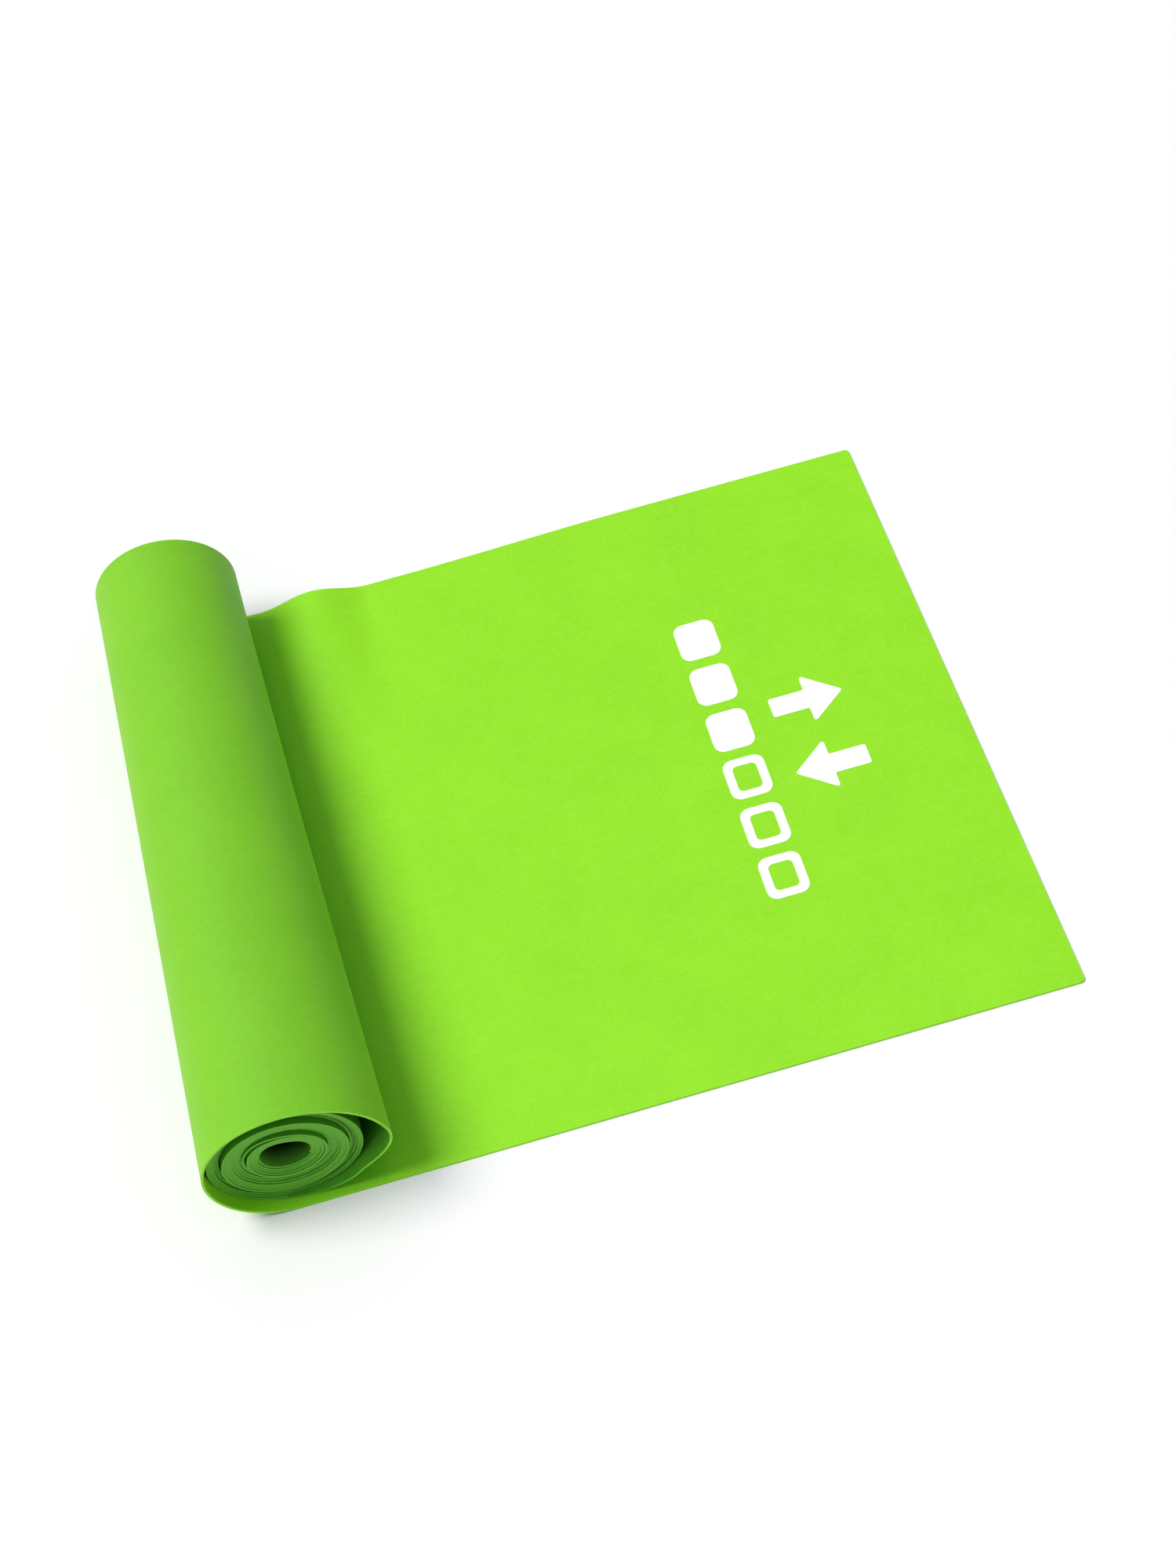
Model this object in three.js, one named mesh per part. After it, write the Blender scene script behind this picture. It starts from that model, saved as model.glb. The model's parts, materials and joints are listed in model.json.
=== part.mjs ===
// A flat elastic exercise band: most of it is wound into a roll, and the rest lies out flat.
//
// Units are millimetres and +Z is up. The band lies on the plane z = 0 and runs along X, with its
// width along Y. The roll is at the -X end and the free end is at the +X end. The origin is at
// the middle of the bottom of the whole object's box.
//
// The band is one strip. It is divided here into the stretches that move on their own: the wound
// turns, which spin, the loose outer turn, and panels that hinge where the flat run bends.
import * as THREE from "three";

// The band
const BAND_WIDTH = 150;
const BAND_THICKNESS = 0.5;
const CORNER_RADIUS = 1;
const GAP = 0.3; // left between neighbouring stretches of the band

// The roll
const WRAP_RADIUS = 15.4; // middle of the outer turn's thickness, where it lies snug
const BULGE_NEAR = 5; // how far the outer turn stands off the roll at its -Y edge
const BULGE_FALL = 1.2; // power by which that shrinks to nothing at the +Y edge
const CORE_HOLE_RADIUS = 4.65;
const TURNS_OUTER_RADIUS = WRAP_RADIUS - BAND_THICKNESS / 2 - GAP;
const TURNS_RECESS = 3.1; // the wound turns are stretched a little, so narrower at the -Y end
const TURNS_WIDTH = BAND_WIDTH - TURNS_RECESS - GAP;
const TURNS_Y = TURNS_RECESS / 2;
const ROLL_SKEW = 1.5; // the roll lies askew: its +Y end is this much further to -X

// Along X. ROLL_X is the roll's axis at the middle of the band's width.
const OBJECT_LENGTH = 173.65;
const FREE_END_X = OBJECT_LENGTH / 2;
const ROLL_Z = WRAP_RADIUS + BAND_THICKNESS / 2;
const ROLL_X = -OBJECT_LENGTH / 2 + ROLL_SKEW / 2 + WRAP_RADIUS + BAND_THICKNESS / 2;

// Lengths of the flat panels, counted from the roll. The marks are printed on the sixth and seventh.
const PANEL_LENGTHS = [20, 18, 14, 14, 13.5, 14.5, 21, 10, 10];
const FLAT_RUN = PANEL_LENGTHS.reduce((sum, length) => sum + length, 0);
const TAIL_END_X = FREE_END_X - FLAT_RUN; // the outer turn runs along the floor as far as here
const LEVEL_PANEL = 6;
const ARROW_PANEL = 7;

// The turns are wound in three bunches, each slid a little along the roll.
const TURN_BUNCHES = [
  { name: "turns_outer", inner: 12.6, outer: TURNS_OUTER_RADIUS, slide: 0 },
  { name: "turns_middle", inner: 8, outer: 12.3, slide: -0.6 },
  { name: "turns_core", inner: CORE_HOLE_RADIUS, outer: 7.7, slide: -0.3 },
];

// The printed marks
const INK_THICKNESS = 0.1;
const INK_LIFT = 0.02; // clearance between the ink and the band
const LEVEL_MARKS = 6;
const LEVEL_FILLED = 3; // the band's strength is the third of six
const LEVEL_SIZE_X = 9;
const LEVEL_SIZE_Y = 10.4;
const LEVEL_PITCH = 13;
const LEVEL_LINE = 1.9; // line width of a mark that is only outlined
const LEVEL_CORNER = 2.2;
const ARROW_LENGTH = 16;
const ARROW_WIDTH = 13;
const ARROW_SHAFT = 5;
const ARROW_HEAD = 8;
const ARROW_SPACING = 18;

const bandMaterial = new THREE.MeshStandardMaterial({
  color: 0x97ea38,
  roughness: 0.62,
  metalness: 0,
});
const inkMaterial = new THREE.MeshStandardMaterial({
  color: 0xf7f8f2,
  roughness: 0.5,
  metalness: 0,
});

const band = new THREE.Group();
band.name = "exercise_band";

function addMesh(name, geometry, material) {
  const mesh = new THREE.Mesh(geometry, material);
  mesh.name = name;
  band.add(mesh);
  return mesh;
}

// --- The outer turn ----------------------------------------------------------------------------

const ARC_SWEEP = 328; // degrees, from the bottom round the -X side, over the top and down again
const ARC_STEPS = 60;
const TAIL_STEPS = 6;
const WIDTH_STEPS = 6;

// How much of the bulge there is at an angle counted from the bottom by way of the -X side: it
// builds up over the top, is greatest on the +X side, and closes onto the roll again below that.
function bulgeShare(degrees) {
  const rise = THREE.MathUtils.smoothstep(degrees, 60, 255);
  const fall = THREE.MathUtils.smoothstep(degrees, 258, 308);
  return rise * (1 - fall);
}

// X of the roll's axis at a place along Y.
function rollAxisX(y) {
  return ROLL_X - (y / BAND_WIDTH) * ROLL_SKEW;
}

// The outer turn's middle line at a place along Y.
function outerTurnLine(y) {
  const bulge = BULGE_NEAR * (0.5 - y / BAND_WIDTH) ** BULGE_FALL;
  const axisX = rollAxisX(y);
  const line = [];
  for (let i = 0; i < TAIL_STEPS; i++) {
    const x = THREE.MathUtils.lerp(TAIL_END_X, axisX, i / TAIL_STEPS);
    line.push(new THREE.Vector2(x, BAND_THICKNESS / 2));
  }
  for (let i = 0; i <= ARC_STEPS; i++) {
    const degrees = (ARC_SWEEP * i) / ARC_STEPS;
    const angle = THREE.MathUtils.degToRad(-90 - degrees);
    const radius = WRAP_RADIUS + bulge * bulgeShare(degrees);
    const x = axisX + radius * Math.cos(angle);
    const z = ROLL_Z + radius * Math.sin(angle);
    line.push(new THREE.Vector2(x, z));
  }
  return line;
}

// The closed outline of a line given the band's thickness, half of it on each side.
function thicken(line) {
  const sides = [[], []];
  line.forEach((point, i) => {
    const before = line[Math.max(i - 1, 0)];
    const after = line[Math.min(i + 1, line.length - 1)];
    const along = after.clone().sub(before).normalize();
    const across = new THREE.Vector2(-along.y, along.x).multiplyScalar(BAND_THICKNESS / 2);
    sides[0].push(point.clone().add(across));
    sides[1].unshift(point.clone().sub(across));
  });
  return [...sides[0], ...sides[1]];
}

// A closed body through outlines in XZ that stand one behind the other along Y. Each outline is
// two equal rows of points, out and back, so its ends are capped by joining the two rows.
function loft(outlines, places) {
  const size = outlines[0].length;
  const positions = [];
  const index = [];
  outlines.forEach((outline, row) => {
    outline.forEach((point) => positions.push(point.x, places[row], point.y));
  });
  for (let row = 0; row + 1 < outlines.length; row++) {
    for (let i = 0; i < size; i++) {
      const next = (i + 1) % size;
      const a = row * size + i;
      const b = row * size + next;
      index.push(a, b, a + size);
      index.push(b, b + size, a + size);
    }
  }
  const last = (outlines.length - 1) * size;
  for (let i = 0; i + 1 < size / 2; i++) {
    const back = size - 1 - i;
    index.push(i, back, i + 1);
    index.push(i + 1, back, back - 1);
    index.push(last + i, last + i + 1, last + back);
    index.push(last + i + 1, last + back - 1, last + back);
  }
  const geometry = new THREE.BufferGeometry();
  geometry.setAttribute("position", new THREE.Float32BufferAttribute(positions, 3));
  geometry.setIndex(index);
  geometry.computeVertexNormals();
  return geometry;
}

function addOuterTurn() {
  const outlines = [];
  const places = [];
  for (let row = 0; row <= WIDTH_STEPS; row++) {
    const y = (row / WIDTH_STEPS - 0.5) * BAND_WIDTH;
    outlines.push(thicken(outerTurnLine(y)));
    places.push(y);
  }
  addMesh("outer_wrap", loft(outlines, places), bandMaterial);
}

// --- The wound turns ---------------------------------------------------------------------------

const LATHE_STEPS = 64;

function addTurns() {
  const half = TURNS_WIDTH / 2;
  for (const bunch of TURN_BUNCHES) {
    const profile = [
      new THREE.Vector2(bunch.inner, -half),
      new THREE.Vector2(bunch.outer, -half),
      new THREE.Vector2(bunch.outer, half),
      new THREE.Vector2(bunch.inner, half),
      new THREE.Vector2(bunch.inner, -half),
    ];
    const turns = addMesh(bunch.name, new THREE.LatheGeometry(profile, LATHE_STEPS), bandMaterial);
    const y = TURNS_Y + bunch.slide;
    turns.position.set(rollAxisX(y), y, ROLL_Z);
    turns.rotation.z = Math.asin(ROLL_SKEW / BAND_WIDTH);
  }
}

// --- The flat run ------------------------------------------------------------------------------

// Where panel number n starts and ends along X. Its far edge is the next panel's start.
function panelSpan(n) {
  const before = PANEL_LENGTHS.slice(0, n - 1).reduce((sum, length) => sum + length, 0);
  const start = TAIL_END_X + before;
  const end = start + PANEL_LENGTHS[n - 1];
  return { start, end, middle: (start + end) / 2 };
}

// The last panel's outline, with the free end's two corners rounded.
function endPanelShape(length) {
  const half = BAND_WIDTH / 2;
  const r = CORNER_RADIUS;
  const shape = new THREE.Shape();
  shape.moveTo(0, -half);
  shape.lineTo(length - r, -half);
  shape.absarc(length - r, -half + r, r, -Math.PI / 2, 0);
  shape.lineTo(length, half - r);
  shape.absarc(length - r, half - r, r, 0, Math.PI / 2);
  shape.lineTo(0, half);
  shape.closePath();
  return shape;
}

function addPanels() {
  const count = PANEL_LENGTHS.length;
  for (let n = 1; n <= count; n++) {
    const { start, end } = panelSpan(n);
    const name = "strip_" + n;
    if (n === count) {
      const shape = endPanelShape(FREE_END_X - start - GAP / 2);
      const flat = new THREE.ExtrudeGeometry(shape, {
        depth: BAND_THICKNESS,
        bevelEnabled: false,
        curveSegments: 6,
      });
      addMesh(name, flat, bandMaterial).position.set(start + GAP / 2, 0, 0);
    } else {
      const box = new THREE.BoxGeometry(end - start - GAP, BAND_WIDTH, BAND_THICKNESS);
      const x = (start + end) / 2;
      addMesh(name, box, bandMaterial).position.set(x, 0, BAND_THICKNESS / 2);
    }
  }
}

// --- The printed marks -------------------------------------------------------------------------

function roundedRectangle(path, width, height, radius) {
  const x = width / 2;
  const y = height / 2;
  path.moveTo(-x + radius, -y);
  path.absarc(x - radius, -y + radius, radius, -Math.PI / 2, 0);
  path.absarc(x - radius, y - radius, radius, 0, Math.PI / 2);
  path.absarc(-x + radius, y - radius, radius, Math.PI / 2, Math.PI);
  path.absarc(-x + radius, -y + radius, radius, Math.PI, 1.5 * Math.PI);
  return path;
}

function levelShape(filled) {
  const shape = roundedRectangle(new THREE.Shape(), LEVEL_SIZE_X, LEVEL_SIZE_Y, LEVEL_CORNER);
  if (!filled) {
    const width = LEVEL_SIZE_X - 2 * LEVEL_LINE;
    const height = LEVEL_SIZE_Y - 2 * LEVEL_LINE;
    shape.holes.push(roundedRectangle(new THREE.Path(), width, height, LEVEL_CORNER / 2));
  }
  return shape;
}

function arrowShape() {
  const tip = ARROW_LENGTH / 2;
  const neck = tip - ARROW_HEAD;
  const shape = new THREE.Shape();
  shape.moveTo(-tip, -ARROW_SHAFT / 2);
  shape.lineTo(neck, -ARROW_SHAFT / 2);
  shape.lineTo(neck, -ARROW_WIDTH / 2);
  shape.lineTo(tip, 0);
  shape.lineTo(neck, ARROW_WIDTH / 2);
  shape.lineTo(neck, ARROW_SHAFT / 2);
  shape.lineTo(-tip, ARROW_SHAFT / 2);
  shape.closePath();
  return shape;
}

function addInk(name, shape, x, y, turn = 0) {
  const options = { depth: INK_THICKNESS, bevelEnabled: false, curveSegments: 5 };
  const ink = addMesh(name, new THREE.ExtrudeGeometry(shape, options), inkMaterial);
  ink.position.set(x, y, BAND_THICKNESS + INK_LIFT);
  ink.rotation.z = turn;
}

// A row of marks across the band shows its strength, filled up to its level.
function addLevelMarks() {
  const x = panelSpan(LEVEL_PANEL).middle;
  for (let n = 1; n <= LEVEL_MARKS; n++) {
    const y = ((LEVEL_MARKS + 1) / 2 - n) * LEVEL_PITCH;
    addInk("level_mark_" + n, levelShape(n <= LEVEL_FILLED), x, y);
  }
}

// Two arrows that point opposite ways along the band show how it is pulled.
function addArrows() {
  const x = panelSpan(ARROW_PANEL).middle;
  addInk("pull_arrow_1", arrowShape(), x, ARROW_SPACING / 2);
  addInk("pull_arrow_2", arrowShape(), x, -ARROW_SPACING / 2, Math.PI);
}

addOuterTurn();
addTurns();
addPanels();
addLevelMarks();
addArrows();

export default band;
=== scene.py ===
"""A flat elastic exercise band, most of it wound into a roll and the rest lying out on a pale floor.

The band is one continuous strip. Its visible surface is built here as stretches of sheet that meet
edge to edge in the middle of the frame's panels.
"""

import json
import math

import bmesh
import bpy
import numpy as np
from mathutils import Matrix, Vector


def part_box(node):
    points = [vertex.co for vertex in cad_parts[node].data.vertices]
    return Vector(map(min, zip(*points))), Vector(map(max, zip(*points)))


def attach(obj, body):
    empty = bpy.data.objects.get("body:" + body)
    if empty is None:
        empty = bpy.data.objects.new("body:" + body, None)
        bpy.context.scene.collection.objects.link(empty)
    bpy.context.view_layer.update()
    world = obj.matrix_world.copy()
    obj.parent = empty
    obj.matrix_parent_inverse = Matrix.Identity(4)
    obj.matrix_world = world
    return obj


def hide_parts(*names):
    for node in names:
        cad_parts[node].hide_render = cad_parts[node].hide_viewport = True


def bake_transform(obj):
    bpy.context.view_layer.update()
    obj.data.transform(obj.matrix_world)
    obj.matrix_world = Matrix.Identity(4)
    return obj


MM = 0.001
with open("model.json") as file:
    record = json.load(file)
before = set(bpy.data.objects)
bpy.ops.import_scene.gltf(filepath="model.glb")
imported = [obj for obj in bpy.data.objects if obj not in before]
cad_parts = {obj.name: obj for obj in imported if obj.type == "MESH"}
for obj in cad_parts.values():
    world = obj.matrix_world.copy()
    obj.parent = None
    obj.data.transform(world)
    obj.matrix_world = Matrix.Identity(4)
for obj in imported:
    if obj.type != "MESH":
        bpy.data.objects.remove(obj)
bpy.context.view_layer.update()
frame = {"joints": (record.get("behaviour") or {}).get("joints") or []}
JOINTS = {joint["name"]: joint for joint in frame["joints"]}

# --- Sizes, in metres, from the frame ----------------------------------------------------------

panel_low, panel_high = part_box("strip_1")

THICKNESS = panel_high.z - panel_low.z
EDGE_NEAR = panel_low.y
EDGE_FAR = panel_high.y
WIDTH = EDGE_FAR - EDGE_NEAR
FREE_END_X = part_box("strip_9")[1].x
CORNER_RADIUS = 1 * MM
ROLL_X, ROLL_Y, ROLL_Z = JOINTS["roll_spin"]["pos_m"]
ROLL_SKEW = JOINTS["roll_spin"]["axis"][0]  # sine of the angle between the roll and the Y axis
RECESS = 3.1 * MM  # the wound turns are stretched, so narrower, and end this far in from the edge
FAR_RECESS = 0.15 * MM  # and this far in from the far edge, before their bunches are dished

# The lines across the flat run where one stretch of sheet meets the next: the panels' middles.
HINGES = [JOINTS[f"end_lift_{n}"]["pos_m"][0] for n in range(1, 8)]
PULL_SEAM = (panel_low.x + panel_high.x) / 2
STRETCH_SEAM = sum(corner.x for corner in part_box("strip_2")) / 2
SEAMS = [PULL_SEAM, STRETCH_SEAM]
SEAMS += [(a + b) / 2 for a, b in zip(HINGES, HINGES[1:])]
SEAMS += [FREE_END_X]


def smoothstep(value, low, high):
    t = np.clip((value - low) / (high - low), 0.0, 1.0)
    return t * t * (3 - 2 * t)


# --- Shape of the roll ------------------------------------------------------------------------
#
# The winding is followed by one angle in degrees. It is 0 at the bottom, where the band leaves the
# floor, and grows by way of the -X side, over the top and on round into the roll.

SNUG_RADIUS = ROLL_Z - THICKNESS / 2
WOUND_START_RADIUS = SNUG_RADIUS - THICKNESS - 0.03 * MM
BULGE_NEAR = 5 * MM
BULGE_FALL = 1.2  # power by which the bulge shrinks to nothing at the far edge
DIVE_START, DIVE_END = 250.0, 430.0  # where the band draws in to the wound turns' width
TURN_END = 372.0  # the loose turn ends and the wound turns begin
CORE_RADIUS = 4.65 * MM
TURN_PITCH = 0.512 * MM
GROOVE = 0.3 * MM
GROOVE_RADII = (12.4 * MM, 7.85 * MM)
ROUND_RADIUS = 14.2 * MM  # the turns further out than this are round
OVALNESS = 0.5 * MM
THREE_SIDEDNESS = 0.22 * MM
# Slides of the turns' edges along the roll, in mm: how far, and the radii it starts and ends at.
DISHES = ((0.9, 14.6, 12.6), (-1.3, 12.5, 12.1), (1.1, 12.0, 8.1), (-0.9, 7.95, 7.55), (0.6, 7.4, 4.9))


def bulge_share(degrees):
    return smoothstep(degrees, 60, 255) * (1 - smoothstep(degrees, 258, 308))


def loose_radius(degrees, share):
    """Middle of the loose turn's thickness, at a share of the way from the near to the far edge."""
    bulge = BULGE_NEAR * (1 - share) ** BULGE_FALL
    radius = SNUG_RADIUS + bulge * bulge_share(degrees)
    tucked = wound_radius(TURN_END)
    return radius + (tucked - SNUG_RADIUS) * smoothstep(degrees, 300, TURN_END - 8)


def wound_radius(degrees):
    """Middle of the band's thickness in the wound turns, with wider gaps between the bunches."""
    turns = (np.asarray(degrees, float) - TURN_END) / 360
    radius = WOUND_START_RADIUS - TURN_PITCH * turns
    for groove_radius in GROOVE_RADII:
        turn = (WOUND_START_RADIUS - groove_radius) / TURN_PITCH
        radius = radius - GROOVE * smoothstep(turns, turn - 0.5, turn + 0.5)
    return radius


def turn_at(radius):
    """How many turns in from their start the wound turns first get inside this radius."""
    turns = np.linspace(0, 30, 3001)
    return float(turns[np.argmax(wound_radius(TURN_END + 360 * turns) < radius)])


def bunch_slide(degrees):
    """How far each turn's edge lies along the roll from its bunch's own place: bunches are dished."""
    turns = (np.asarray(degrees, float) - TURN_END) / 360
    radius = wound_radius(degrees)
    dish = 0.0
    for slide, outer, inner in DISHES:
        dish = dish + slide * MM * smoothstep(-radius, -outer * MM, -inner * MM)
    wander = 0.07 * MM * np.sin(2.1 * turns + 0.4) + 0.05 * MM * np.sin(5.3 * turns)
    return dish + wander * smoothstep(turns, 0.0, 1.0)


def narrowing(degrees):
    """How much of the wound turns' narrowing there is at this angle."""
    return smoothstep(degrees, DIVE_START, DIVE_END)


def settle(x, z):
    """The wound turns sag a little out of round, more towards the core."""
    radius = np.hypot(x, z)
    angle = np.arctan2(z, x)
    inwards = np.clip(1 - radius / ROUND_RADIUS, 0, 1)
    change = OVALNESS * inwards * np.cos(2 * angle + 0.2)
    change = change + THREE_SIDEDNESS * inwards * np.sin(3 * angle + 1.1)
    scale = 1 + change / np.maximum(radius, MM)
    return x * scale, z * scale


def roll_axis_x(y):
    return ROLL_X - ROLL_SKEW * (y - ROLL_Y)


def roll_points(degrees, shares, radius_of, oval):
    """Points of the winding, one row for each angle and one column for each place across."""
    degrees = degrees[:, None]
    angle = np.radians(-90 - degrees)
    radius = radius_of(degrees, shares[None, :]) + 0 * shares[None, :]
    x, z = radius * np.cos(angle), radius * np.sin(angle)
    if oval:
        x, z = settle(x, z)
    y = EDGE_NEAR + WIDTH * shares[None, :]
    inset = RECESS * (1 - shares[None, :]) - FAR_RECESS * shares[None, :]
    y = y + narrowing(degrees) * (inset + ROLL_SKEW * x)
    if oval:
        y = y + bunch_slide(degrees)
    return np.stack([roll_axis_x(y) + x, y + 0 * x, ROLL_Z + z], -1)


def roll_surface(degrees, shares, radius_of, oval=False):
    """The winding's points and its normals, which point in to the roll's axis."""
    here = roll_points(degrees, shares, radius_of, oval)
    step = 0.5
    ahead = roll_points(degrees + step, shares, radius_of, oval)
    behind = roll_points(degrees - step, shares, radius_of, oval)
    along = ahead - behind
    normal = np.stack([along[..., 2], 0 * along[..., 1], -along[..., 0]], -1)
    return here, normal / np.linalg.norm(normal, axis=-1, keepdims=True)


# --- Shape of the flat run --------------------------------------------------------------------

WAVE_X = PULL_SEAM - 3 * MM
WAVE_HALF = 13 * MM
WAVE_HEIGHT = 3 * MM
WAVE_REACH = 55 * MM  # how far the wave at the far edge runs in across the band
EDGE_DRAWN_IN = 0.9 * MM  # by the wave


def flat_height(x, y):
    """Height of the sheet's middle above the floor: it lies flat but for one wave at the far edge."""
    across = np.clip(np.abs(x - WAVE_X) / WAVE_HALF, 0, 1)
    wave = WAVE_HEIGHT * np.cos(across * math.pi / 2) ** 2
    return THICKNESS / 2 + wave * smoothstep(y, EDGE_FAR - WAVE_REACH, EDGE_FAR) ** 1.3


def flat_points(x, shares):
    y = EDGE_NEAR + WIDTH * shares
    drawn = smoothstep(x, ROLL_X, WAVE_X) * (1 - smoothstep(x, STRETCH_SEAM, HINGES[3]))
    y = y - EDGE_DRAWN_IN * drawn * smoothstep(shares, 0.55, 1)
    return np.stack([x, y, flat_height(x, y)], -1)


def flat_surface(x, shares):
    """The flat run's points and upward normals, at matching arrays of x and share across."""
    here = flat_points(x, shares)
    step = 0.05 * MM
    along = flat_points(x + step, shares) - flat_points(x - step, shares)
    share_step = step / WIDTH
    across = flat_points(x, shares + share_step) - flat_points(x, shares - share_step)
    normal = np.cross(along, across)
    return here, normal / np.linalg.norm(normal, axis=-1, keepdims=True)


# --- Meshes -----------------------------------------------------------------------------------


def places_across(spacing=2.5 * MM):
    """Shares of the width where rows of vertices run, finer near the two edges."""
    near_edge = np.array([0, 0.08, 0.25, 0.55, 0.95, 1.4, 2.0, 3.0, 4.5]) * MM
    inside = np.linspace(6 * MM, WIDTH - 6 * MM, int((WIDTH - 12 * MM) / spacing) + 1)
    return np.concatenate([near_edge, inside, WIDTH - near_edge[::-1]]) / WIDTH


def places_along(start, end, spacing=0.8 * MM):
    """Where columns of vertices run from start to end, finer at both ends, where stretches meet."""
    fine = np.array([0, 0.08, 0.25, 0.5]) * MM * np.sign(end - start)
    count = max(int(abs(end - start) / spacing), 2)
    inside = np.linspace(start + 2 * fine[-1], end - 2 * fine[-1], count)
    return np.concatenate([start + fine, inside, end - fine[::-1]])


def add_object(name, mesh, materials):
    obj = bpy.data.objects.new(name, mesh)
    bpy.context.scene.collection.objects.link(obj)
    for material in materials:
        mesh.materials.append(material)
    return obj


def sheet_mesh(name, middle, normal, lengths, materials, plain_rows=0):
    """A closed sheet of the band's thickness about a grid of middle points.

    Its first material is on the face that the normals point to, the second on the other face, and
    the third on the cut edges. The last plain_rows rows of faces have the three materials after
    those. The UV map holds the distance along and across the band in metres.
    """
    rows, columns = middle.shape[:2]
    half = normal * THICKNESS / 2
    vertices = np.concatenate([(middle + half).reshape(-1, 3), (middle - half).reshape(-1, 3)])
    number = np.arange(rows * columns).reshape(rows, columns)
    a, b = number[:-1, :-1].ravel(), number[1:, :-1].ravel()
    c, d = number[1:, 1:].ravel(), number[:-1, 1:].ravel()
    upper = np.stack([a, b, c, d], 1)
    lower = upper[:, ::-1] + rows * columns
    loop = np.concatenate([number[:, 0], number[-1, 1:], number[-2::-1, -1], number[0, -2:0:-1]])
    after = np.roll(loop, -1)
    rim = np.stack([loop, loop + rows * columns, after + rows * columns, after], 1)
    first = vertices[upper[0]]
    facing = np.cross(first[1] - first[0], first[3] - first[0]) @ normal[0, 0]
    faces = np.concatenate([upper, lower, rim])
    if facing < 0:
        faces = faces[:, ::-1]

    mesh = bpy.data.meshes.new(name)
    mesh.from_pydata(vertices.tolist(), [], faces.tolist())
    kinds = np.repeat([0, 1, 2], [len(upper), len(lower), len(rim)])
    rows_of_faces = (faces % (rows * columns)).min(1) // columns
    slots = kinds + 3 * (rows_of_faces >= rows - 1 - plain_rows) * (plain_rows > 0)
    mesh.polygons.foreach_set("material_index", slots.astype(np.int32))
    mesh.polygons.foreach_set("use_smooth", np.ones(len(faces), bool))
    across = middle[..., 1] - EDGE_NEAR
    flat_uv = np.stack([lengths[:, None] + 0 * across, across], -1).reshape(-1, 2)
    flat_uv = np.concatenate([flat_uv, flat_uv])
    corners = np.zeros(len(mesh.loops), np.int32)
    mesh.loops.foreach_get("vertex_index", corners)
    layer = mesh.uv_layers.new(name="band")
    layer.data.foreach_set("uv", flat_uv[corners].astype(np.float32).ravel())
    mark_rim_sharp(mesh, kinds)
    mesh.update()
    return add_object(name, mesh, materials)


def mark_rim_sharp(mesh, kinds):
    """The edges between a face of the sheet and its cut edge stay crisp under smooth shading."""
    bm = bmesh.new()
    bm.from_mesh(mesh)
    for edge in bm.edges:
        found = {kinds[face.index] for face in edge.link_faces}
        edge.smooth = len(found) == 1
    bm.to_mesh(mesh)
    bm.free()


def row_steps(middle):
    """Distance from each row to the next, measured along the middle of the band."""
    line = middle[:, middle.shape[1] // 2]
    return np.linalg.norm(np.diff(line, axis=0), axis=1)


def path_lengths(middle, last):
    """Distance of each row from the free end, given that of the last row."""
    return last + np.concatenate([np.cumsum(row_steps(middle)[::-1])[::-1], [0]])


def loose_length():
    """Length of band from the free end to where the wound turns begin."""
    degrees = np.linspace(TURN_END, 0, 400)
    middle = roll_points(degrees, np.array([0.5]), loose_radius, False)
    return path_lengths(middle, FREE_END_X - roll_axis_x(0))[0]


LOOSE_LENGTH = loose_length()

# --- Materials --------------------------------------------------------------------------------


def srgb(red, green, blue):
    def linear(value):
        value /= 255
        return value / 12.92 if value <= 0.04045 else ((value + 0.055) / 1.055) ** 2.4

    return (linear(red), linear(green), linear(blue), 1.0)


class Nodes:
    """A material's node tree, with a short way to add and join nodes."""

    def __init__(self, name):
        self.material = bpy.data.materials.new(name)
        self.material.use_nodes = True
        self.tree = self.material.node_tree
        self.shader = self.tree.nodes["Principled BSDF"]

    def add(self, kind, **settings):
        node = self.tree.nodes.new(kind)
        for key, value in settings.items():
            setattr(node, key, value)
        return node

    def join(self, output, socket):
        self.tree.links.new(output, socket)

    def noise(self, vector, scale, detail=3.0, roughness=0.55):
        node = self.add("ShaderNodeTexNoise")
        node.inputs["Scale"].default_value = scale
        node.inputs["Detail"].default_value = detail
        node.inputs["Roughness"].default_value = roughness
        self.join(vector, node.inputs["Vector"])
        return node.outputs["Fac"]

    def part(self, vector, axis):
        node = self.add("ShaderNodeSeparateXYZ")
        self.join(vector, node.inputs["Vector"])
        return node.outputs[axis]

    def stretch(self, vector, scale):
        node = self.add("ShaderNodeMapping")
        node.inputs["Scale"].default_value = scale
        self.join(vector, node.inputs["Vector"])
        return node.outputs["Vector"]

    def remap(self, value, from_low, from_high, to_low, to_high):
        node = self.add("ShaderNodeMapRange")
        self.join(value, node.inputs["Value"])
        node.inputs["From Min"].default_value = from_low
        node.inputs["From Max"].default_value = from_high
        node.inputs["To Min"].default_value = to_low
        node.inputs["To Max"].default_value = to_high
        return node.outputs["Result"]

    def mix(self, factor, first, second):
        node = self.add("ShaderNodeMix", data_type="RGBA")
        self.join(factor, node.inputs["Factor"])
        for socket, value in ((node.inputs[6], first), (node.inputs[7], second)):
            if isinstance(value, tuple):
                socket.default_value = value
            else:
                self.join(value, socket)
        return node.outputs[2]

    def bump(self, height, strength, distance, normal=None):
        node = self.add("ShaderNodeBump")
        node.inputs["Strength"].default_value = strength
        node.inputs["Distance"].default_value = distance
        self.join(height, node.inputs["Height"])
        if normal is not None:
            self.join(normal, node.inputs["Normal"])
        return node.outputs["Normal"]


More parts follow.
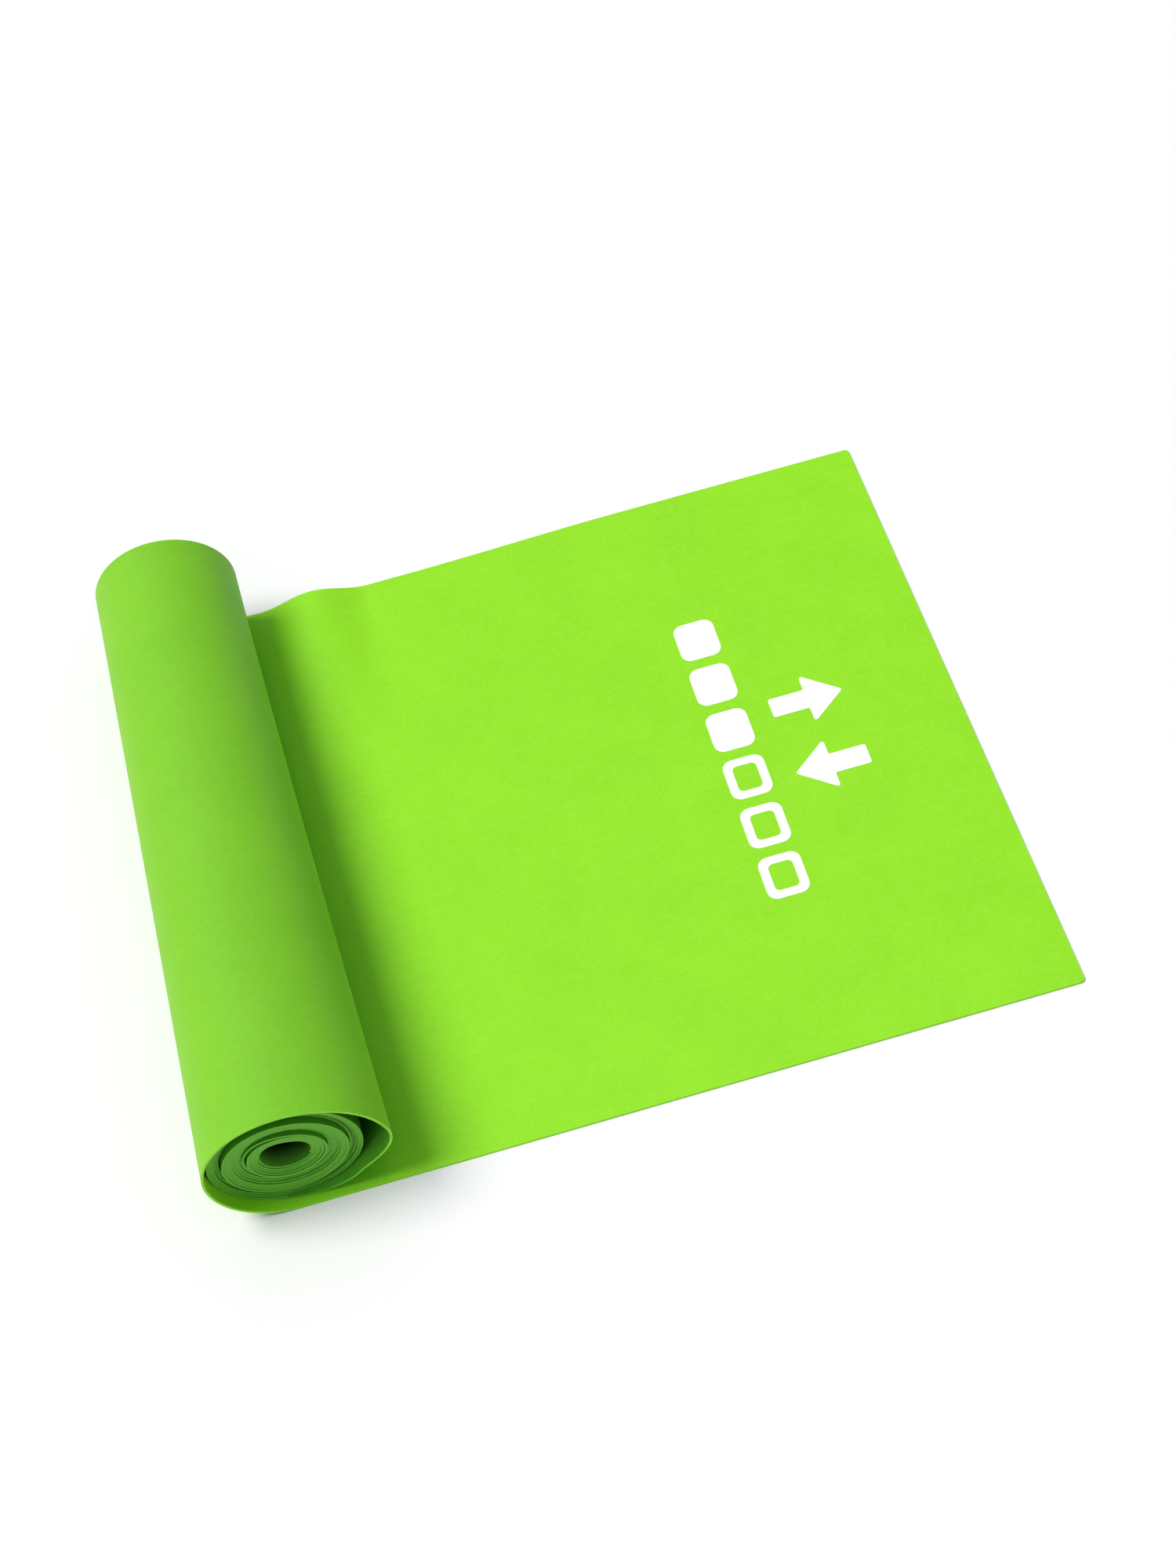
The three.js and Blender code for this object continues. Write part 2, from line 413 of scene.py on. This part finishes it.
def latex(name, dull, bright, glow=False, tucked=None, depths=None, shine=0.3):
    """Matt sheet latex: fine grain, faint lines along the band from rolling, and a powdery bloom.

    With glow, light passes through the sheet. With tucked, a colour and two lengths of band, the
    colour turns to that one between those lengths short of the wound turns: painted shade where the
    loose turn's end tucks into the roll. With depths, a colour and two distances in from the band's
    nearer edge, it turns to that one between those: painted shade inside the roll's ends and core.
    """
    nodes = Nodes(name)
    place = nodes.add("ShaderNodeTexCoord").outputs["Object"]
    band = nodes.add("ShaderNodeUVMap", uv_map="band").outputs["UV"]
    cloud = nodes.noise(place, 55, detail=2.0)
    mottle = nodes.noise(place, 700, detail=4.0)
    grain = nodes.noise(place, 2600, detail=3.0)
    lines = nodes.noise(nodes.stretch(band, (18, 900, 1)), 1.0, detail=3.0)

    colour = nodes.mix(nodes.remap(cloud, 0.3, 0.7, 0.1, 0.9), dull, bright)
    bloom = tuple(0.88 * c + 0.12 * w for c, w in zip(bright, (0.6, 0.9, 0.4, 1.0)))
    colour = nodes.mix(nodes.remap(mottle, 0.4, 0.75, 0.0, 0.3), colour, bloom)
    shade = tuple(0.86 * c for c in dull[:3]) + (1.0,)
    colour = nodes.mix(nodes.remap(grain, 0.5, 0.75, 0.0, 0.5), colour, shade)
    colour = nodes.mix(nodes.remap(lines, 0.5, 0.85, 0.0, 0.2), colour, shade)
    # Painted shade where the loose turn's end tucks into the roll.
    if tucked:
        painted_shade, first, last = tucked
        length = nodes.part(band, "X")
        share = nodes.remap(length, LOOSE_LENGTH - first, LOOSE_LENGTH - last, 0, 1)
        colour = nodes.mix(share, colour, painted_shade)
    # Painted shade, darker further in from the roll's ends, as in its core hole.
    if depths:
        painted_shade, first, last = depths
        from_edge = nodes.add("ShaderNodeMath", operation="PINGPONG")
        nodes.join(nodes.part(band, "Y"), from_edge.inputs[0])
        from_edge.inputs[1].default_value = WIDTH / 2
        share = nodes.remap(from_edge.outputs["Value"], first, last, 0, 1)
        colour = nodes.mix(share, colour, painted_shade)
    nodes.join(colour, nodes.shader.inputs["Base Color"])
    rough = nodes.remap(mottle, 0.25, 0.75, 0.54, 0.68)
    nodes.join(rough, nodes.shader.inputs["Roughness"])
    nodes.shader.inputs["Specular IOR Level"].default_value = shine
    if glow:
        nodes.shader.inputs["Subsurface Weight"].default_value = 1.0
        nodes.shader.inputs["Subsurface Radius"].default_value = (0.9, 1.1, 0.4)
        nodes.shader.inputs["Subsurface Scale"].default_value = 0.45 * MM

    normal = nodes.bump(grain, 0.45, 0.00008)
    normal = nodes.bump(lines, 0.2, 0.00005, normal)
    normal = nodes.bump(cloud, 0.3, 0.0004, normal)
    nodes.join(normal, nodes.shader.inputs["Normal"])
    return nodes.material


def printed_ink():
    """White screen-printed ink: almost opaque, with the green showing faintly in its pinholes."""
    nodes = Nodes("printed_ink")
    place = nodes.add("ShaderNodeTexCoord").outputs["Object"]
    speckle = nodes.noise(place, 2600, detail=2.0)
    tone = nodes.noise(place, 300, detail=2.0)
    white = nodes.mix(nodes.remap(tone, 0.3, 0.7, 0.0, 1.0), (0.84, 0.86, 0.8, 1), (0.9, 0.9, 0.88, 1))
    colour = nodes.mix(nodes.remap(speckle, 0.66, 0.8, 0.0, 0.5), white, srgb(196, 240, 150))
    nodes.join(colour, nodes.shader.inputs["Base Color"])
    nodes.shader.inputs["Roughness"].default_value = 0.5
    nodes.join(nodes.bump(speckle, 0.15, 0.00003), nodes.shader.inputs["Normal"])
    return nodes.material


def floor_material():
    nodes = Nodes("studio_floor")
    place = nodes.add("ShaderNodeTexCoord").outputs["Object"]
    tone = nodes.noise(place, 3.0, detail=2.0)
    colour = nodes.mix(tone, (0.795, 0.805, 0.825, 1), (0.815, 0.825, 0.845, 1))
    nodes.join(colour, nodes.shader.inputs["Base Color"])
    nodes.shader.inputs["Roughness"].default_value = 0.8
    nodes.shader.inputs["Specular IOR Level"].default_value = 0.2
    return nodes.material


LIME = (srgb(133, 210, 18), srgb(139, 217, 22))
LIME_UNDER = (srgb(119, 190, 29), srgb(126, 196, 34))
LIME_EDGE = (srgb(140, 216, 40), srgb(150, 224, 50))
# Painted shade: darker copies of the band's lime for the inside of the roll. They are used on the
# wound turns' faces and cut edges, on the loose turn's end where it tucks in, and in the depth of the
# core hole.
CORE_SHADED_FACE = (srgb(92, 168, 44), srgb(98, 176, 48))
CORE_HOLE_SHADE = srgb(24, 46, 14)
TUCKED_SHADED_FACE = (srgb(78, 156, 28), srgb(84, 163, 32))
TUCKED_SHADED_EDGE = (srgb(102, 182, 50), srgb(114, 194, 58))

LAID_MATERIALS = (
    latex("laid_top_face", *LIME),
    latex("laid_under_face", *LIME_UNDER),
    latex("laid_cut_edge", *LIME_EDGE),
)
# The loose turn's top face and cut edge darken to painted shade towards where its end tucks into the
# roll.
LOOSE_MATERIALS = (
    latex("loose_top_face", *LIME, glow=True, tucked=(TUCKED_SHADED_FACE[0], 62 * MM, 42 * MM)),
    latex("loose_under_face", *LIME_UNDER, glow=True),
    latex("loose_cut_edge", *LIME_EDGE, glow=True, tucked=(TUCKED_SHADED_EDGE[0], 28 * MM, 14 * MM)),
)
# The wound turns are painted shade: they use the darker greens above, with less shine.
WOUND_MATERIALS = (
    latex("wound_top_face", *CORE_SHADED_FACE, depths=(CORE_HOLE_SHADE, 4.2 * MM, 8 * MM), shine=0.15),
    latex("wound_under_face", *TUCKED_SHADED_FACE, shine=0.15),
    latex("wound_cut_edge", *TUCKED_SHADED_EDGE, shine=0.15),
)
INK = printed_ink()

# --- The band ---------------------------------------------------------------------------------

ACROSS = places_across()
WOUND_ACROSS = np.array([0, 0.08, 0.3, 1, 4, 20, 75, 130, 146, 149, 149.7, 149.92, 150]) / 150
LOOSE_STEPS = 190
WOUND_STEPS_PER_TURN = 96
TAIL_COLUMN = 0.5 * MM
SHADED_X = ROLL_X + 15 * MM  # light passes through the sheet as far as this shaded place


def finish_sheet(nodes):
    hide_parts(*nodes)


def loose_turn():
    """The loose outer turn, and the sheet that runs from under it to the first seam.

    Returns the length of band from the free end to the start of the wound turns.
    """
    degrees = np.linspace(TURN_END, 0, LOOSE_STEPS, endpoint=False)
    turn, turn_normal = roll_surface(degrees, ACROSS, loose_radius)
    tail = places_along(0, PULL_SEAM - ROLL_X, TAIL_COLUMN)[:, None] / (PULL_SEAM - ROLL_X)
    tail_start = roll_axis_x(EDGE_NEAR + WIDTH * ACROSS)[None, :]
    x_grid = tail_start + (PULL_SEAM - tail_start) * tail
    flat, flat_normal = flat_surface(x_grid, ACROSS[None, :] + 0 * x_grid)
    middle = np.concatenate([turn, flat])
    normal = np.concatenate([turn_normal, flat_normal])
    lengths = path_lengths(middle, FREE_END_X - PULL_SEAM)
    plain_rows = int((PULL_SEAM - SHADED_X) / TAIL_COLUMN)
    materials = LOOSE_MATERIALS + LAID_MATERIALS
    piece = sheet_mesh("loose_turn", middle, normal, lengths, materials, plain_rows)
    finish_sheet(["outer_wrap"])
    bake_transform(piece)
    return lengths[0]


def wound_turns(length):
    """The wound turns, in their three bunches. The spiral runs on from each bunch to the next.

    Takes the length of band from the free end to their start, and returns that to the inner end.
    """
    starts = [0.0] + [turn_at(radius) for radius in (*GROOVE_RADII, CORE_RADIUS)]
    names = ["turns_outer", "turns_middle", "turns_core"]
    for name, start, end in zip(names, starts, starts[1:]):
        steps = int((end - start) * WOUND_STEPS_PER_TURN)
        degrees = TURN_END + 360 * np.linspace(start, end, steps + 1)
        middle, normal = roll_surface(degrees, WOUND_ACROSS, lambda d, s: wound_radius(d), oval=True)
        lengths = length + np.concatenate([[0], np.cumsum(row_steps(middle))])
        piece = sheet_mesh(name + "_spiral", middle, normal, lengths, WOUND_MATERIALS)
        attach(piece, "wound_turns")
        finish_sheet([name])
        length = lengths[-1]
    return length


def round_free_end(x, shares):
    """Draws the last stretch's columns in near the two corners, so that the corners are round."""
    from_edge = np.minimum(shares, 1 - shares) * WIDTH
    missing = np.clip(CORNER_RADIUS - from_edge, 0, CORNER_RADIUS)
    inset = CORNER_RADIUS - np.sqrt(CORNER_RADIUS**2 - missing**2)
    start = SEAMS[-2]
    return start + (x - start) * (FREE_END_X - inset - start) / (FREE_END_X - start)


def flat_stretch(number, start, end, nodes):
    x_grid, share_grid = np.meshgrid(places_along(start, end), ACROSS, indexing="ij")
    if end == FREE_END_X:
        x_grid = round_free_end(x_grid, share_grid)
    middle, normal = flat_surface(x_grid, share_grid)
    lengths = FREE_END_X - places_along(start, end)
    piece = sheet_mesh(f"sheet_{number}", middle, normal, lengths, LAID_MATERIALS)
    finish_sheet(nodes)
    return piece


def bend_at_hinge(piece):
    """Bakes the piece's placement into its mesh."""
    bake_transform(piece)


def flat_run():
    stretched = flat_stretch(1, SEAMS[0], SEAMS[1], ["strip_1"])
    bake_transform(stretched)
    for number in range(1, 8):
        nodes = [f"strip_{number + 1}"]
        if number == 7:
            nodes.append("strip_9")
        piece = flat_stretch(number + 1, SEAMS[number], SEAMS[number + 1], nodes)
        bend_at_hinge(piece)


# --- The print --------------------------------------------------------------------------------

INK_LOW = 0.01 * MM  # above the sheet's face
INK_HIGH = 0.06 * MM
INK_COLUMN = 1 * MM


def rounded_outline(corners, radius, steps=6):
    """A closed outline with each corner replaced by an arc, as (x, y) pairs."""
    points = []
    count = len(corners)
    for i, corner in enumerate(corners):
        here = Vector(corner)
        to_last = (Vector(corners[i - 1]) - here).normalized()
        to_next = (Vector(corners[(i + 1) % count]) - here).normalized()
        half_angle = to_last.angle(to_next) / 2
        reach = radius / math.tan(half_angle)
        centre = here + (to_last + to_next).normalized() * (radius / math.sin(half_angle))
        first = here + to_last * reach - centre
        last = here + to_next * reach - centre
        turn = math.atan2(first.x * last.y - first.y * last.x, first.dot(last))
        for step in range(steps + 1):
            points.append(tuple(centre + Matrix.Rotation(turn * step / steps, 2) @ first))
    return points


def box_corners(low, high, inset=0.0):
    x0, y0, x1, y1 = low.x + inset, low.y + inset, high.x - inset, high.y - inset
    return [(x0, y0), (x1, y0), (x1, y1), (x0, y1)]


LEVEL_CORNER = 2.2 * MM
LEVEL_LINE = 1.9 * MM
LEVEL_FILLED = 3
ARROW_HEAD = 8 * MM
ARROW_SHAFT = 5 * MM
ARROW_CORNER = 0.45 * MM


def level_mark(bm, number):
    low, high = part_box(f"level_mark_{number}")
    outer = rounded_outline(box_corners(low, high), LEVEL_CORNER)
    outer = [bm.verts.new((x, y, 0)) for x, y in outer]
    if number <= LEVEL_FILLED:
        bm.faces.new(outer)
        return
    inner = rounded_outline(box_corners(low, high, LEVEL_LINE), LEVEL_CORNER / 2)
    inner = [bm.verts.new((x, y, 0)) for x, y in inner]
    for i in range(len(outer)):
        bm.faces.new([outer[i - 1], outer[i], inner[i], inner[i - 1]])


def pull_arrow(bm, number):
    low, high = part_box(f"pull_arrow_{number}")
    centre, half = (low + high) / 2, (high - low) / 2
    sign = 1 if number == 1 else -1
    neck = half.x - ARROW_HEAD
    outline = [(-half.x, -ARROW_SHAFT / 2), (neck, -ARROW_SHAFT / 2), (neck, -half.y), (half.x, 0)]
    outline += [(neck, half.y), (neck, ARROW_SHAFT / 2), (-half.x, ARROW_SHAFT / 2)]
    points = rounded_outline([(sign * x, sign * y) for x, y in outline], ARROW_CORNER, steps=3)
    bm.faces.new([bm.verts.new((centre.x + x, centre.y + y, 0)) for x, y in points])


def cut_columns(bm, low, high):
    """Keeps what lies between two lines across the band, and cuts it into narrow columns."""

    def bisect(x, **clear):
        geometry = bm.verts[:] + bm.edges[:] + bm.faces[:]
        bmesh.ops.bisect_plane(bm, geom=geometry, plane_co=(x, 0, 0), plane_no=(1, 0, 0), **clear)

    bisect(low, clear_inner=True)
    bisect(high, clear_outer=True)
    for x in np.arange(low + INK_COLUMN, high - INK_COLUMN / 2, INK_COLUMN):
        bisect(float(x))


def ink_stretch(name, number, nodes):
    """The print that lies between seam number and the next, as thin raised ink."""
    bm = bmesh.new()
    for mark in range(1, 7):
        level_mark(bm, mark)
    for arrow in (1, 2):
        pull_arrow(bm, arrow)
    cut_columns(bm, SEAMS[number], SEAMS[number + 1])
    for vertex in bm.verts:
        vertex.co.z = THICKNESS + INK_HIGH
    bmesh.ops.recalc_face_normals(bm, faces=bm.faces[:])
    if bm.faces and sum(face.normal.z for face in bm.faces) < 0:
        bmesh.ops.reverse_faces(bm, faces=bm.faces[:])
    made = bmesh.ops.extrude_face_region(bm, geom=bm.faces[:])
    for vertex in [item for item in made["geom"] if isinstance(item, bmesh.types.BMVert)]:
        vertex.co.z = THICKNESS + INK_LOW
    bmesh.ops.recalc_face_normals(bm, faces=bm.faces[:])
    mesh = bpy.data.meshes.new(name)
    bm.to_mesh(mesh)
    bm.free()
    piece = add_object(name, mesh, [INK])
    if nodes:
        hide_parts(*nodes)
    bend_at_hinge(piece)


def printed_marks():
    ink_stretch("print_level_marks", 4, [f"level_mark_{n}" for n in range(1, 7)])
    ink_stretch("print_middle", 5, [])
    ink_stretch("print_arrows", 6, ["pull_arrow_1", "pull_arrow_2"])


# --- Studio -----------------------------------------------------------------------------------

FLOOR_SIZE = 30.0  # wide, so that its far edge is out of the way in low views
CAMERA_PLACE = (-0.01751, -0.29669, 0.41119)
CAMERA_AZIMUTH = -4.51
CAMERA_ELEVATION = 53.8
CAMERA_ROLL = -12.07
CAMERA_LENS = 55.2
CAMERA_SENSOR = 36.0
KEY_FROM = (-1.28, 0.16, 2.56)  # the direction that the key light comes from
KEY_SPREAD = 31.0  # angle that the soft key light spans, seen from the object
KEY_STRENGTH = 2.72
KEY_COLOUR = (1.06, 1.0, 0.94)
SKY_COLOUR = (0.93, 1.0, 1.07, 1)
# Brightness of the sky at rising heights, from the horizon at 0 to straight above at 1.
SKY = ((0.0, 0.8), (0.08, 0.25), (0.3, 0.1), (1.0, 0.74))


def add_floor():
    mesh = bpy.data.meshes.new("floor")
    half = FLOOR_SIZE / 2
    corners = [(-half, -half, 0), (half, -half, 0), (half, half, 0), (-half, half, 0)]
    mesh.from_pydata(corners, [], [(0, 1, 2, 3)])
    floor = add_object("floor", mesh, [floor_material()])
    return floor


def add_camera():
    data = bpy.data.cameras.new("camera")
    data.sensor_width = CAMERA_SENSOR
    data.lens = CAMERA_LENS
    camera = bpy.data.objects.new("camera", data)
    bpy.context.scene.collection.objects.link(camera)
    azimuth = Matrix.Rotation(math.radians(CAMERA_AZIMUTH), 4, "Z")
    tilt = Matrix.Rotation(math.radians(90 - CAMERA_ELEVATION), 4, "X")
    roll = Matrix.Rotation(math.radians(CAMERA_ROLL), 4, "Z")
    camera.matrix_world = Matrix.Translation(CAMERA_PLACE) @ azimuth @ tilt @ roll
    bpy.context.scene.camera = camera


def add_key_light():
    """A large soft light, so far off that it lights the whole floor evenly."""
    data = bpy.data.lights.new("key", "SUN")
    data.color = KEY_COLOUR
    data.angle = math.radians(KEY_SPREAD)
    data.energy = KEY_STRENGTH
    light = bpy.data.objects.new("key", data)
    bpy.context.scene.collection.objects.link(light)
    light.location = KEY_FROM
    light.rotation_mode = "QUATERNION"
    light.rotation_quaternion = (-Vector(KEY_FROM)).to_track_quat("-Z", "Y")


def add_sky():
    """A plain overhead softbox of a sky, with a pale band at the horizon as a backdrop."""
    world = bpy.data.worlds.new("studio")
    bpy.context.scene.world = world
    world.use_nodes = True
    tree = world.node_tree
    background = tree.nodes["Background"]
    background.inputs["Color"].default_value = SKY_COLOUR
    direction = tree.nodes.new("ShaderNodeTexCoord").outputs["Generated"]
    height = tree.nodes.new("ShaderNodeSeparateXYZ")
    tree.links.new(direction, height.inputs["Vector"])
    ramp = tree.nodes.new("ShaderNodeValToRGB")
    tree.links.new(height.outputs["Z"], ramp.inputs["Fac"])
    ramp.color_ramp.interpolation = "EASE"
    stops = ramp.color_ramp.elements
    while len(stops) < len(SKY):
        stops.new(1.0)
    for stop, (place, value) in zip(stops, SKY):
        stop.position = place
        stop.color = (value, value, value, 1)
    tree.links.new(ramp.outputs["Color"], background.inputs["Strength"])


def add_studio():
    floor = add_floor()
    add_camera()
    add_key_light()
    add_sky()
    bpy.context.scene.view_settings.view_transform = "Standard"
    return floor


floor = add_studio()
band_length = wound_turns(loose_turn())
flat_run()
printed_marks()
print(f"the band is {band_length:.3f} m long")
